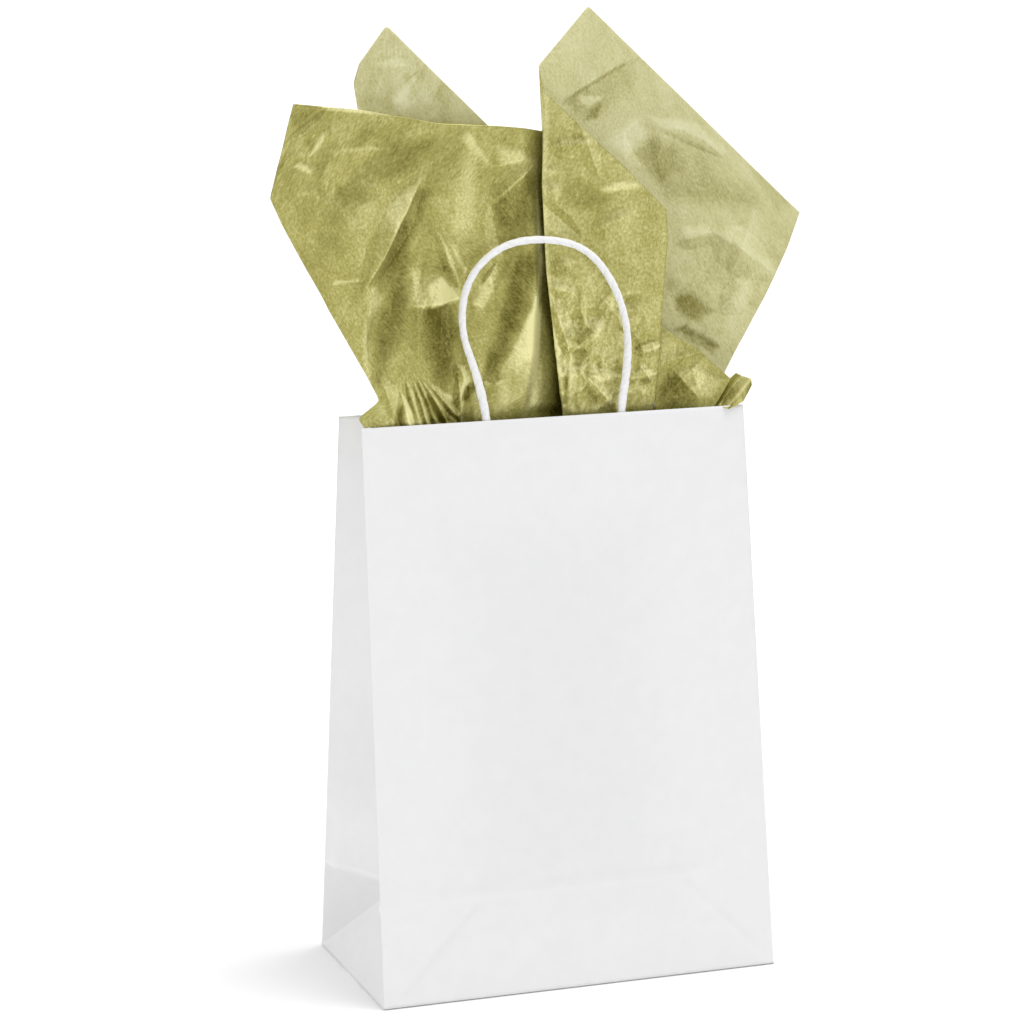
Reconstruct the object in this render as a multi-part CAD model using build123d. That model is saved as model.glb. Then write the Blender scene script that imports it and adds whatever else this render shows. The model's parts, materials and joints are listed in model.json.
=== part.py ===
from build123d import *
import math
import os

import numpy as np

# A paper gift bag with two twisted-paper handles and four sheets of tissue.
# Millimetres. +Z is up, -Y is the front, the origin is the centre of the underside.
# The bag is one web of paper, folded: each panel between creases is its own piece.

# Bag
bag_width = 203.0
bag_depth = 108.0
panel_length = 279.0
mouth_width = 196.0
mouth_depth = 38.0
paper_thickness = 0.2

# Side gussets, folded inwards
base_crease_height = 46.0
gusset_dent = 25.0
gusset_dent_height = 44.5

# Flaps that make the bottom, and the glued seam
bottom_lap = 24.0
tuck_length = 50.0
tuck_nose_width = 12.0
seam_width = 16.0
seam_inset = 1.0

# Handle patches, glued inside the mouth
patch_width = 110.0
patch_height = 50.0
patch_drop = 6.0
glue_gap = 0.05

# Handles
cord_diameter = 3.5
handle_pitch = 69.0
handle_end_length = 42.0
hinge_clearance = 0.5

# Tissue sheets. Each stands in its own slab of the mouth, so each pulls straight up.
tissue_tuck = 112.0
corner_tuck = 42.0
rim_clearance = 4.0
gusset_clearance = 5.5
handle_clearance = 4.8
sheet_gap = 2.0
corner_sheet_clearance = 1.9
corner_sheet_depth = 4.0

cord_radius = cord_diameter / 2
lean = (bag_depth - mouth_depth) / 2
rim_height = math.sqrt(panel_length**2 - lean**2 - ((bag_width - mouth_width) / 2) ** 2)
panel_slope = math.hypot(lean, rim_height)
floor_height = 3 * paper_thickness
gusset_fold_in = math.sqrt((bag_depth / 2) ** 2 - (mouth_depth / 2) ** 2)

# The front panel seen from inside: local x across, y down from the rim, z into the bag.
front_inside = Plane(
    origin=(0, -mouth_depth / 2, rim_height),
    x_dir=(1, 0, 0),
    z_dir=(0, rim_height / panel_slope, -lean / panel_slope),
)


def wall_points(side):
    """The crease points of one side gusset; side is -1 for left, 1 for right."""
    up = (base_crease_height - floor_height) / (rim_height - floor_height)
    low = bag_width / 2
    high = mouth_width / 2
    crease_x = low + (high - low) * up
    crease_y = bag_depth / 2 - lean * up
    return {
        "foot_front": Vector(side * low, -bag_depth / 2, floor_height),
        "foot_back": Vector(side * low, bag_depth / 2, floor_height),
        "crease_front": Vector(side * crease_x, -crease_y, base_crease_height),
        "crease_back": Vector(side * crease_x, crease_y, base_crease_height),
        "rim_front": Vector(side * high, -mouth_depth / 2, rim_height),
        "rim_back": Vector(side * high, mouth_depth / 2, rim_height),
        "dent": Vector(side * (low - gusset_dent), 0, gusset_dent_height),
        "rim_fold": Vector(side * (high - gusset_fold_in), 0, rim_height),
    }


points = {f"left_{name}": place for name, place in wall_points(-1).items()}
points |= {f"right_{name}": place for name, place in wall_points(1).items()}

# Each panel as triangles of crease points, in turning order seen from outside the bag.
panels = {
    "front_panel": [
        ("left_foot_front", "right_foot_front", "right_crease_front"),
        ("left_foot_front", "right_crease_front", "left_crease_front"),
        ("left_crease_front", "right_crease_front", "right_rim_front"),
        ("left_crease_front", "right_rim_front", "left_rim_front"),
    ],
    "back_panel": [
        ("right_foot_back", "left_foot_back", "left_crease_back"),
        ("right_foot_back", "left_crease_back", "right_crease_back"),
        ("right_crease_back", "left_crease_back", "left_rim_back"),
        ("right_crease_back", "left_rim_back", "right_rim_back"),
    ],
}
for side in ("left", "right"):
    gusset = {
        f"{side}_gusset_base": [("foot_back", "foot_front", "dent")],
        f"{side}_gusset_front_leaf": [
            ("foot_front", "crease_front", "dent"),
            ("crease_front", "rim_front", "dent"),
            ("rim_front", "rim_fold", "dent"),
        ],
        f"{side}_gusset_back_leaf": [
            ("crease_back", "foot_back", "dent"),
            ("rim_back", "crease_back", "dent"),
            ("rim_fold", "rim_back", "dent"),
        ],
    }
    for name, facets in gusset.items():
        named = [[f"{side}_{corner}" for corner in facet] for facet in facets]
        panels[name] = named if side == "left" else [facet[::-1] for facet in named]


def facet_normal(facet):
    """The outward unit normal of a triangle of crease points."""
    first, second, third = (points[corner] for corner in facet)
    return (second - first).cross(third - first).normalized()


def inner_point(name):
    """The crease point moved inwards until it is one thickness inside its panels."""
    rows = []
    for panel, facets in panels.items():
        # The flat front and back keep their exact thickness, and the gussets follow.
        weight = 1000 if panel in ("front_panel", "back_panel") else 1
        rows += [weight * np.array(tuple(facet_normal(f))) for f in facets if name in f]
    depths = [paper_thickness * np.linalg.norm(row) for row in rows]
    if points[name].Z in (rim_height, floor_height):
        # A point on a cut edge stays level with that edge.
        rows.append(np.array([0, 0, 1000]))
        depths.append(0)
    step = np.linalg.lstsq(np.array(rows), np.array(depths), rcond=None)[0]
    return points[name] - Vector(*step)


def folded_panel(facets, inner):
    """A closed sheet one paper thick: outer facets, inner facets and the edges between."""
    faces = []
    edges = [(facet[i], facet[(i + 1) % 3]) for facet in facets for i in range(3)]
    for facet in facets:
        faces.append([points[corner] for corner in facet])
        faces.append([inner[corner] for corner in reversed(facet)])
    for start, end in edges:
        if (end, start) in edges:
            continue
        # Both panels at a crease cut its mitre along the same diagonal.
        if start < end:
            faces.append([points[end], points[start], inner[end]])
            faces.append([points[start], inner[start], inner[end]])
        else:
            faces.append([points[end], points[start], inner[start]])
            faces.append([points[end], inner[start], inner[end]])
    sides = [Face(Wire.make_polygon(corners, close=True)) for corners in faces]
    return Solid(Shell(sides))


def bottom_flap(front_edge, back_edge, layer):
    """One of the two glued flaps, lying in its layer of the bottom."""
    depth = back_edge - front_edge
    place = Pos(0, (front_edge + back_edge) / 2, (layer + 0.5) * paper_thickness)
    return place * Box(bag_width, depth, paper_thickness)


def bottom_tuck(side):
    """The gusset's end, folded in flat under the flaps' inner face."""
    edge = side * bag_width / 2
    nose = side * (bag_width / 2 - tuck_length)
    corners = [
        (edge, -bag_depth / 2),
        (edge, bag_depth / 2),
        (nose, tuck_nose_width / 2),
        (nose, -tuck_nose_width / 2),
    ]
    outline = make_face(Polyline(corners, close=True))
    return Pos(0, 0, 2 * paper_thickness) * extrude(outline, paper_thickness, dir=(0, 0, 1))


def seam_lap():
    """The web's glued lap, inside the back panel beside its left crease."""
    half_foot = bag_width / 2 - seam_inset
    half_rim = mouth_width / 2 - seam_inset
    down = panel_slope * (rim_height - floor_height) / rim_height
    corners = [
        (-half_rim, 0),
        (seam_width - half_rim, 0),
        (seam_width - half_foot, down),
        (-half_foot, down),
    ]
    # The inset keeps the strip out of the gusset's mitred edge.
    strip = extrude(make_face(Polyline(corners, close=True)), paper_thickness, dir=(0, 0, 1))
    return (front_inside * Pos(0, 0, paper_thickness) * strip).mirror(Plane.XZ)


# Layers from the panel's outer face inwards: panel, ply, cord, ply.
cord_offset = 2 * paper_thickness + glue_gap + cord_radius
inner_ply_offset = cord_offset + cord_radius + glue_gap + paper_thickness / 2
pivot = front_inside.from_local_coords(Vector(0, -(cord_radius + hinge_clearance), cord_offset))


def patch_ply(offset):
    """One ply of a handle patch, its middle plane at offset from the panel's outer face."""
    drop = patch_drop + patch_height / 2
    return front_inside * Pos(0, drop, offset) * Box(patch_width, patch_height, paper_thickness)


def handle_ends():
    """The two glued ends of a handle, straight down between the plies."""
    ends = []
    for side in (-1, 1):
        place = Pos(side * handle_pitch / 2, handle_end_length / 2, cord_offset) * Rot(X=90)
        ends.append(front_inside * place * Cylinder(cord_radius, handle_end_length))
    return Compound(ends)


def handle_loop():
    """The loop of cord above the rim, with a round end on the hinge axis at each leg."""
    half = handle_pitch / 2
    route = [
        (-half, 0),
        (-39.5, 21),
        (-47.5, 43),
        (-44, 66.5),
        (-27, 82),
        (-5, 84.5),
        (17, 79),
        (31.5, 60.5),
        (38.5, 38),
        (37.5, 17),
        (half, 0),
    ]
    path_points = [(x, pivot.Y, pivot.Z + z) for x, z in route]
    radii = corner_radii(path_points)
    print("handle arc radii", [round(radius, 1) for radius in radii])
    path = FilletPolyline(path_points, radius=radii)
    start = Plane(origin=path @ 0, z_dir=path % 0)
    cord = sweep(start * Circle(cord_radius), path=path)
    expected = math.pi * cord_radius**2 * path.length
    print("handle length", round(path.length, 1), "volume ratio", round(cord.volume / expected, 4))
    for side in (-1, 1):
        barrel = Cylinder(cord_radius, cord_diameter * 0.8)
        cord += Pos(side * half, pivot.Y, pivot.Z) * Rot(Y=90) * barrel
    return cord


def corner_radii(path_points):
    """For each inner point, the arc that takes 0.45 of its shorter run."""
    radii = []
    for before, here, after in zip(path_points, path_points[1:], path_points[2:]):
        run_in = Vector(*here) - Vector(*before)
        run_out = Vector(*after) - Vector(*here)
        half_turn = math.radians(run_in.get_angle(run_out)) / 2
        radii.append(0.45 * min(run_in.length, run_out.length) / math.tan(half_turn))
    return radii


# Where the tissue may stand: short of the gusset folds, and behind the handle's inner side.
stem_edge = mouth_width / 2 - gusset_fold_in - gusset_clearance
slab_edge = -(pivot.Y + cord_radius + handle_clearance)


def tissue_slab(outline, front, back):
    """A soft stand-in: an outline in x and height above the rim, filled between two y planes."""
    corners = [(x, rim_height + height) for x, height in outline]
    face = make_face(Plane.XZ * Polyline(corners, close=True))
    return Pos(0, front, 0) * extrude(face, back - front, dir=(0, 1, 0))


def tissue_left_front():
    """The big front-left sheet."""
    outline = [
        (-stem_edge, -tissue_tuck),
        (-8, -tissue_tuck),
        (-6, rim_clearance),
        (-6, 136),
        (-54, 142),
        (-125, 152),
        (-136, 111),
        (-121, 75),
        (-92, 17),
        (-88, rim_clearance),
        (-stem_edge, rim_clearance),
    ]
    return tissue_slab(outline, -slab_edge, -sheet_gap / 2)


def tissue_left_back():
    """The peaked sheet behind the front-left one."""
    outline = [
        (-stem_edge, -tissue_tuck),
        (-8, -tissue_tuck),
        (-6, rim_clearance),
        (-6, 128),
        (-25, 138),
        (-74, 187),
        (-89, 163),
        (-84, 103),
        (-60, rim_clearance),
        (-stem_edge, rim_clearance),
    ]
    return tissue_slab(outline, sheet_gap / 2, slab_edge)


def tissue_right():
    """The right-hand sheet, folded over a soft fold at its left: a front and a back half."""
    front_half = [
        (4, -tissue_tuck),
        (stem_edge, -tissue_tuck),
        (stem_edge, rim_clearance),
        (58, rim_clearance),
        (62, 64),
        (64, 95),
        (17, 137),
        (-1, 155),
        (-3, 117),
        (-2, rim_clearance),
        (2, rim_clearance),
    ]
    back_half = [
        (4, -tissue_tuck),
        (stem_edge, -tissue_tuck),
        (stem_edge, rim_clearance),
        (90, rim_clearance),
        (105, 25),
        (128, 63),
        (140, 89),
        (53, 171),
        (28, 194),
        (5, 172),
        (-3, 117),
        (-2, rim_clearance),
        (2, rim_clearance),
    ]
    return tissue_slab(front_half, -slab_edge, 0) + tissue_slab(back_half, 0, slab_edge)


def tissue_corner():
    """The small gathered sheet at the front right corner."""
    front = -mouth_depth / 2 + corner_sheet_clearance
    outline = [
        (67, -corner_tuck),
        (72, -corner_tuck),
        (74, rim_clearance),
        (100, rim_clearance),
        (106, 12),
        (96, 17),
        (67, 35),
    ]
    return tissue_slab(outline, front, front + corner_sheet_depth)


def build():
    """Every sub-part by name."""
    inner = {name: inner_point(name) for name in points}
    nodes = {name: folded_panel(facets, inner) for name, facets in panels.items()}
    half_depth = bag_depth / 2
    nodes["bottom_outer_flap"] = bottom_flap(-half_depth, bottom_lap / 2, 0)
    nodes["bottom_inner_flap"] = bottom_flap(-bottom_lap / 2, half_depth, 1)
    nodes["bottom_left_tuck"] = bottom_tuck(-1)
    nodes["bottom_right_tuck"] = bottom_tuck(1)
    nodes["side_seam_lap"] = seam_lap()
    front_pieces = {
        "patch_outer_ply": patch_ply(1.5 * paper_thickness),
        "patch_inner_ply": patch_ply(inner_ply_offset),
        "handle_ends": handle_ends(),
        "handle_loop": handle_loop(),
    }
    for name, piece in front_pieces.items():
        nodes[f"front_{name}"] = piece
        nodes[f"back_{name}"] = piece.mirror(Plane.XZ)
    nodes["tissue_left_front"] = tissue_left_front()
    nodes["tissue_left_back"] = tissue_left_back()
    nodes["tissue_right"] = tissue_right()
    nodes["tissue_corner"] = tissue_corner()
    return nodes


os.makedirs("parts", exist_ok=True)
for node_name, shape in build().items():
    export_step(shape, f"parts/{node_name}.step")
print("rim height", round(rim_height, 2))
print("front hinge axis", round(pivot.Y, 3), round(pivot.Z, 3))
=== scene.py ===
import json
import math

import bmesh
import bpy
import numpy as np
from mathutils import Euler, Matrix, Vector


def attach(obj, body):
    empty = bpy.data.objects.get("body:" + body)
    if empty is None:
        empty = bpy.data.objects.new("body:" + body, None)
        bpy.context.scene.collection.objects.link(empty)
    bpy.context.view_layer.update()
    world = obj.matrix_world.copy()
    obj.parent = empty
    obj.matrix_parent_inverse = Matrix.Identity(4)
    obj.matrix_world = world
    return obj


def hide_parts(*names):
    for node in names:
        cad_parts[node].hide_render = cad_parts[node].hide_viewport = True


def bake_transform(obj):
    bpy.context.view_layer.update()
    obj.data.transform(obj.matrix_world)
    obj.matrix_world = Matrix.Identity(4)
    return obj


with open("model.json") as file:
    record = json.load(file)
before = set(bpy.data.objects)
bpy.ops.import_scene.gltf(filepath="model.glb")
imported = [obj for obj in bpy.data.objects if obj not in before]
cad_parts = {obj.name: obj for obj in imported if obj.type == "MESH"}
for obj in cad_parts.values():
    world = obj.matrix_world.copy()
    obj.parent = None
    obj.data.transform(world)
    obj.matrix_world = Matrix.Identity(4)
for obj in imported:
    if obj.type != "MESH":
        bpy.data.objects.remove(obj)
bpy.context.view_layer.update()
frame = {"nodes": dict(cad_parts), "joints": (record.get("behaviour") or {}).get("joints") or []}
mm = 0.001


def nodeCorners(node):
    # every vertex of a CAD node, as an array in metres
    data = frame["nodes"][node].data
    flat = np.empty(len(data.vertices) * 3)
    data.vertices.foreach_get("co", flat)
    return flat.reshape(-1, 3)


def roundedLine(keys, stepsPerRun, softness):
    # straight runs between the keys, then a moving average over `softness` samples,
    # which keeps the runs straight and rounds only the corners; both ends stay put
    keys = np.asarray(keys, float)
    pieces = []
    for i, steps in enumerate(stepsPerRun):
        share = np.linspace(0, 1, steps, endpoint=False).reshape((-1,) + (1,) * (keys.ndim - 1))
        pieces.append(keys[i] * (1 - share) + keys[i + 1] * share)
    line = np.concatenate(pieces + [keys[-1:]])
    if softness < 2:
        return line
    before = 2 * line[:1] - line[softness:0:-1]
    after = 2 * line[-1:] - line[-2:-softness - 2:-1]
    long = np.concatenate([before, line, after])
    weight = np.hanning(softness * 2 + 1)
    weight /= weight.sum()
    return sum(w * long[k:k + len(line)] for k, w in enumerate(weight))


def gridNormals(points):
    # unit normal at each grid point: the cross product of the two grid directions
    across = np.gradient(points, axis=1)
    along = np.gradient(points, axis=0)
    normal = np.cross(across, along)
    return normal / np.maximum(np.linalg.norm(normal, axis=2, keepdims=True), 1e-12)


def gridMesh(name, points, outward, uvs=None, closed=False):
    # a grid of points (rows, columns, 3) as quads, turned so its faces point along `outward`
    rows, cols = points.shape[:2]
    index = np.arange(rows * cols).reshape(rows, cols)
    if closed:
        index = np.concatenate([index, index[:, :1]], axis=1)
    quads = np.stack([index[:-1, :-1], index[:-1, 1:], index[1:, 1:], index[1:, :-1]], axis=2)
    quads = quads.reshape(-1, 4)
    if outward is not None and np.dot(gridNormals(points).mean(axis=(0, 1)), outward) < 0:
        quads = quads[:, ::-1]
    mesh = bpy.data.meshes.new(name)
    mesh.from_pydata(points.reshape(-1, 3).tolist(), [], quads.tolist())
    mesh.polygons.foreach_set("use_smooth", np.ones(len(quads), bool))
    if uvs is not None:
        layer = mesh.uv_layers.new(name="sheetUv")
        loopVertex = np.empty(len(mesh.loops), int)
        mesh.loops.foreach_get("vertex_index", loopVertex)
        layer.data.foreach_set("uv", uvs.reshape(-1, 2)[loopVertex].ravel())
    mesh.update()
    obj = bpy.data.objects.new(name, mesh)
    bpy.context.collection.objects.link(obj)
    return obj


def thicken(obj, thickness, backSlot=0):
    # the sheet's second side, `thickness` inward along the normals, and the rim between the two;
    # the second side takes the material `backSlot` slots further on
    solid = obj.modifiers.new("paperThickness", "SOLIDIFY")
    solid.thickness = thickness
    solid.offset = -1
    solid.use_even_offset = False
    solid.material_offset = backSlot


def pointTone(obj, name, values):
    # one tone per grid point, which the material reads by name
    layer = obj.data.attributes.new(name, "FLOAT", "POINT")
    layer.data.foreach_set("value", values.ravel())


def standFor(obj, body, node):
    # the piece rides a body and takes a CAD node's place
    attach(obj, body)
    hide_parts(node)


def smoothStep(x, low, high):
    # 0 below `low`, 1 above `high`, and 3 t squared - 2 t cubed between them
    t = np.clip((x - low) / (high - low), 0, 1)
    return t * t * (3 - 2 * t)


def linear(hexColour):
    # sRGB hex to linear light
    values = [int(hexColour[i:i + 2], 16) / 255 for i in (1, 3, 5)]
    return tuple(v / 12.92 if v <= 0.04045 else ((v + 0.055) / 1.055) ** 2.4 for v in values) + (1,)


def addNode(tree, kind, settings=None, **links):
    # one node with its settings and inputs; a link is a (node, output) pair or a plain value
    node = tree.nodes.new(kind)
    for key, value in (settings or {}).items():
        setattr(node, key, value)
    for key, value in links.items():
        socket = node.inputs[int(key[1:])] if key[0] == "i" and key[1:].isdigit() else node.inputs[key]
        if isinstance(value, tuple) and len(value) == 2 and hasattr(value[0], "outputs"):
            tree.links.new(value[0].outputs[value[1]], socket)
        else:
            socket.default_value = value
    return node


def newMaterial(name):
    # an empty material with its node tree and its Principled shader
    material = bpy.data.materials.new(name)
    material.use_nodes = True
    return material, material.node_tree, material.node_tree.nodes["Principled BSDF"]


def rampBetween(tree, source, low, high, colourLow, colourHigh):
    # one colour up to `low`, another from `high` on, and a straight mix between
    ramp = addNode(tree, "ShaderNodeValToRGB", i0=source)
    ramp.color_ramp.elements[0].position = low
    ramp.color_ramp.elements[1].position = high
    ramp.color_ramp.elements[0].color = linear(colourLow)
    ramp.color_ramp.elements[1].color = linear(colourHigh)
    return ramp


def noise(tree, place, size, detail, roughness, **more):
    # fractal noise with clumps about `size` mm across; place is a (node, output) pair
    return addNode(tree, "ShaderNodeTexNoise", Vector=place, Scale=1 / (size * mm), Detail=detail,
                   Roughness=roughness, **more)


def maths(tree, operation, *inputs):
    # one Math node with its inputs in order
    return addNode(tree, "ShaderNodeMath", {"operation": operation},
                   **{"i" + str(k): value for k, value in enumerate(inputs)})


def finishSurface(tree, shader, colour, texture, bump, look):
    # base colour, a bump of (strength, depth in mm) from the texture, roughness and specular
    tree.links.new(colour, shader.inputs["Base Color"])
    relief = addNode(tree, "ShaderNodeBump", Strength=bump[0], Distance=bump[1] * mm, Height=texture)
    tree.links.new(relief.outputs["Normal"], shader.inputs["Normal"])
    shader.inputs["Roughness"].default_value = look["roughness"]
    shader.inputs["Specular IOR Level"].default_value = look["specular"]


kraftPaper = {"colour": "#EDEDEE", "shade": "#EBEBEC", "clumpSize": 9, "fibreSize": 0.7,
              "bump": (0.18, 0.03), "roughness": 0.62, "specular": 0.35}


def bleachedKraftPaper():
    # machine-finished bleached kraft: matt white, faint cloudy formation, fine fibre texture;
    # its attribute of painted light and shade makes it lighter or darker in areas and along creases
    material, tree, shader = newMaterial("bleachedKraftPaper")
    place = (addNode(tree, "ShaderNodeTexCoord"), "Object")
    clouds = noise(tree, place, kraftPaper["clumpSize"], 3.0, 0.6)
    fibres = noise(tree, place, kraftPaper["fibreSize"], 4.0, 0.7)
    colour = rampBetween(tree, (clouds, "Fac"), 0.35, 0.65, kraftPaper["shade"], kraftPaper["colour"])
    tone = addNode(tree, "ShaderNodeAttribute", {"attribute_name": "paintedPaperShade"})
    # painted light and shade: the colour is scaled by one plus the attribute
    paintedShadeFactor = maths(tree, "ADD", (tone, "Fac"), 1.0)
    shaded = addNode(tree, "ShaderNodeVectorMath", {"operation": "SCALE"}, i0=(colour, "Color"),
                     Scale=(paintedShadeFactor, "Value"))
    finishSurface(tree, shader, shaded.outputs["Vector"], (fibres, "Fac"), kraftPaper["bump"], kraftPaper)
    return material


cordLook = {"colour": "#F8F8F8", "shade": "#EAEAEA", "creaseSize": 1.6, "bump": (0.35, 0.12),
            "roughness": 0.6, "specular": 0.5}


def twistedPaperCord():
    # kraft paper twisted into cord: the same white, with fine creases along the twist
    material, tree, shader = newMaterial("twistedPaperCord")
    place = (addNode(tree, "ShaderNodeTexCoord"), "Object")
    creases = noise(tree, place, cordLook["creaseSize"], 3.0, 0.65)
    colour = rampBetween(tree, (creases, "Fac"), 0.3, 0.7, cordLook["shade"], cordLook["colour"])
    finishSurface(tree, shader, colour.outputs["Color"], (creases, "Fac"), cordLook["bump"], cordLook)
    return material


tissuePrint = {"fibreWidth": 0.55, "fibreStretch": 3.2, "fibreTurn": 0.9, "speck": 0.75, "cloud": 14,
               "cloudShare": 0.7, "contrast": 0.6, "bump": (0.3, 0.1)}
# each side's colours: painted shade, the ink's middle colour and painted light, then its finish
goldInk = {"paintedShadeColour": "#5F5918", "middle": "#ABA55E", "light": "#ECE7A8", "metallic": 0.45,
           "roughness": 0.34, "specular": 0.2, "facing": 1.0}
paleReverse = {"paintedShadeColour": "#8D8644", "middle": "#CBC791", "light": "#E8E5BE", "metallic": 0.2,
               "roughness": 0.5, "specular": 0.2, "facing": -1.0}


def metallicTissue(name, look):
    # gravure-printed metallic tissue: short tangled fibres show as light and dark specks, slow
    # clouds where the sheet is thicker or thinner, and painted light and shade that turn it from pale
    # gold to deep olive with the slope of each fold, which the sheet carries in an attribute;
    # facing is 1 on the side that the attribute was worked out for, -1 on the other
    material, tree, shader = newMaterial(name)
    sheet = (addNode(tree, "ShaderNodeTexCoord"), "UV")
    turned = addNode(tree, "ShaderNodeMapping", Vector=sheet, Rotation=(0, 0, tissuePrint["fibreTurn"]),
                     Scale=(1.0, 1 / tissuePrint["fibreStretch"], 1.0))
    fibre = noise(tree, (turned, "Vector"), tissuePrint["fibreWidth"] * 2, 3.0, 0.7, Distortion=1.2)
    speck = noise(tree, sheet, tissuePrint["speck"] * 2, 2.0, 0.6)
    cloud = noise(tree, sheet, tissuePrint["cloud"], 3.0, 0.55)
    fine = maths(tree, "ADD", (fibre, "Fac"), (speck, "Fac"))
    both = maths(tree, "MULTIPLY_ADD", (cloud, "Fac"), tissuePrint["cloudShare"], (fine, "Value"))
    # each noise averages a half, so the grain is the sum less its average, times the contrast
    average = 1 + tissuePrint["cloudShare"] / 2
    grain = maths(tree, "MULTIPLY_ADD", (both, "Value"), tissuePrint["contrast"],
                  -average * tissuePrint["contrast"])
    tone = addNode(tree, "ShaderNodeAttribute", {"attribute_name": "foldTone"})
    turn = maths(tree, "MULTIPLY_ADD", (tone, "Fac"), look["facing"], 0.5)
    mixed = maths(tree, "ADD", (turn, "Value"), (grain, "Value"))
    # the ramp paints shade in its first colour and light in its last
    colour = rampBetween(tree, (mixed, "Value"), 0.0, 1.0, look["paintedShadeColour"], look["light"])
    colour.color_ramp.elements.new(0.5).color = linear(look["middle"])
    finishSurface(tree, shader, colour.outputs["Color"], (fine, "Value"), tissuePrint["bump"], look)
    shader.inputs["Metallic"].default_value = look["metallic"]
    return material


paper = bleachedKraftPaper()
cordPaper = twistedPaperCord()
goldSide = metallicTissue("goldPrintedTissue", goldInk)
paleSide = metallicTissue("tissueReverse", paleReverse)

cameraPlace = {"position": (-0.5553, -1.5630, 0.5474), "yaw": -19.03, "pitch": 10.95, "roll": -0.40,
               "lens": 121.2}


def addCamera():
    # turned by yaw and pitch, then rolled about its own line of sight
    data = bpy.data.cameras.new("viewCamera")
    data.lens = cameraPlace["lens"]
    data.sensor_width = 36
    data.clip_end = 50
    camera = bpy.data.objects.new("viewCamera", data)
    turn = Euler((math.radians(90 - cameraPlace["pitch"]), 0, math.radians(cameraPlace["yaw"])))
    roll = Euler((0, 0, math.radians(cameraPlace["roll"])))
    camera.rotation_euler = (turn.to_matrix() @ roll.to_matrix()).to_euler()
    camera.location = cameraPlace["position"]
    bpy.context.collection.objects.link(camera)
    bpy.context.scene.camera = camera


addCamera()
print("camera placed")

# each large face leans in 35 mm over its height, to half the mouth's depth at the rim
face = {"lean": 35.0, "height": 276.8, "length": 279.0, "halfMouth": 19.0}
# endLength is glued between the plies, after a short drop from the hinge
handle = {"diameter": 3.5, "pitch": 69.0, "endLength": 42.0, "drop": 2.2, "strands": 2,
          "twistLength": 15.0, "groove": 0.2, "flatten": 0.2, "spacing": 0.45, "ringPoints": 40}
hinge = {joint["name"]: joint for joint in frame["joints"]}


def handleRoute(side):
    # the cord's points from one glued end, over the loop, to the other; side is -1 front, 1 back
    pivot = np.array(hinge["front_handle_fold" if side < 0 else "back_handle_fold"]["pos_m"])
    half = handle["pitch"] / 2
    loop = [(-half, 0), (-39.5, 21), (-47.5, 43), (-44, 66.5), (-27, 82), (-5, 84.5), (17, 79),
            (31.5, 60.5), (38.5, 38), (37.5, 17), (half, 0)]
    slope = face["lean"] / face["height"]
    ends = [(half, -14), (half, -28), (half, -handle["endLength"] - handle["drop"])]
    points = [(-x, side * -z * slope, z) for x, z in reversed(ends)]
    points += [(x, 0, z) for x, z in loop]
    points += [(x, side * -z * slope, z) for x, z in ends]
    return pivot + np.array(points) * mm


def nurbsPath(name, points):
    # the points of a quadratic NURBS curve that starts and ends at its end points
    curve = bpy.data.curves.new(name, "CURVE")
    curve.dimensions = "3D"
    curve.resolution_u = 24
    spline = curve.splines.new("NURBS")
    spline.points.add(len(points) - 1)
    for slot, point in zip(spline.points, points):
        slot.co = (*point, 1)
    spline.order_u = 3
    spline.use_endpoint_u = True
    obj = bpy.data.objects.new(name, curve)
    bpy.context.collection.objects.link(obj)
    mesh = bpy.data.meshes.new_from_object(obj)
    flat = np.empty(len(mesh.vertices) * 3)
    mesh.vertices.foreach_get("co", flat)
    bpy.data.objects.remove(obj)
    bpy.data.meshes.remove(mesh)
    return flat.reshape(-1, 3)


def evenPath(path, spacing):
    # the path again with points the same distance apart
    length = np.concatenate([[0], np.cumsum(np.linalg.norm(np.diff(path, axis=0), axis=1))])
    along = np.linspace(0, length[-1], int(length[-1] / spacing) + 1)
    return np.stack([np.interp(along, length, path[:, i]) for i in range(3)], axis=1), along


def twistedCord(name, side):
    # a section carried along the path: radius = r (1.02 - groove (1 - |sin phase|) cubed), where
    # the phase turns with the length, so the grooves wind round; a slow wobble of 3 and 2 %
    # makes it uneven, and the legs near the rim are pressed flatter
    path, along = evenPath(nurbsPath(name + "Path", handleRoute(side)), handle["spacing"] * mm)
    tangent = np.gradient(path, axis=0)
    tangent /= np.linalg.norm(tangent, axis=1, keepdims=True)
    out = np.cross(tangent, np.array([0, 1.0, 0]))
    out /= np.linalg.norm(out, axis=1, keepdims=True)
    depth = np.cross(tangent, out)
    angle = np.linspace(0, 2 * math.pi, handle["ringPoints"], endpoint=False)
    twist = along / (handle["twistLength"] * mm) * 2 * math.pi
    strand = handle["strands"] / 2
    phase = strand * (angle[None, :] - twist[:, None])
    radius = handle["diameter"] / 2 * mm * (1.02 - handle["groove"] * (1 - np.abs(np.sin(phase))) ** 3)
    wobble = 0.03 * np.sin(along / (7.3 * mm)) + 0.02 * np.sin(along / (2.9 * mm) + 1)
    radius = radius * (1 + wobble[:, None])
    rim = path[:, 2].min() + (handle["endLength"] + handle["drop"]) * mm
    flat = handle["flatten"] * (1 - smoothStep(path[:, 2], rim + 8 * mm, rim + 40 * mm))
    wide = (1 + flat)[:, None, None]
    thin = (1 - flat)[:, None, None]
    ring = (radius[:, :, None] * np.cos(angle)[None, :, None] * out[:, None, :] * wide
            + radius[:, :, None] * np.sin(angle)[None, :, None] * depth[:, None, :] * thin)
    points = path[:, None, :] + ring
    # a ring shrunk to a point closes each end
    points = np.concatenate([path[:1, None, :] + 0 * ring[:1], points, path[-1:, None, :] + 0 * ring[-1:]])
    obj = gridMesh(name, points, None, closed=True)
    closeCaps(obj)
    obj.data.materials.append(cordPaper)
    return obj, path, along[-1]


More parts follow.
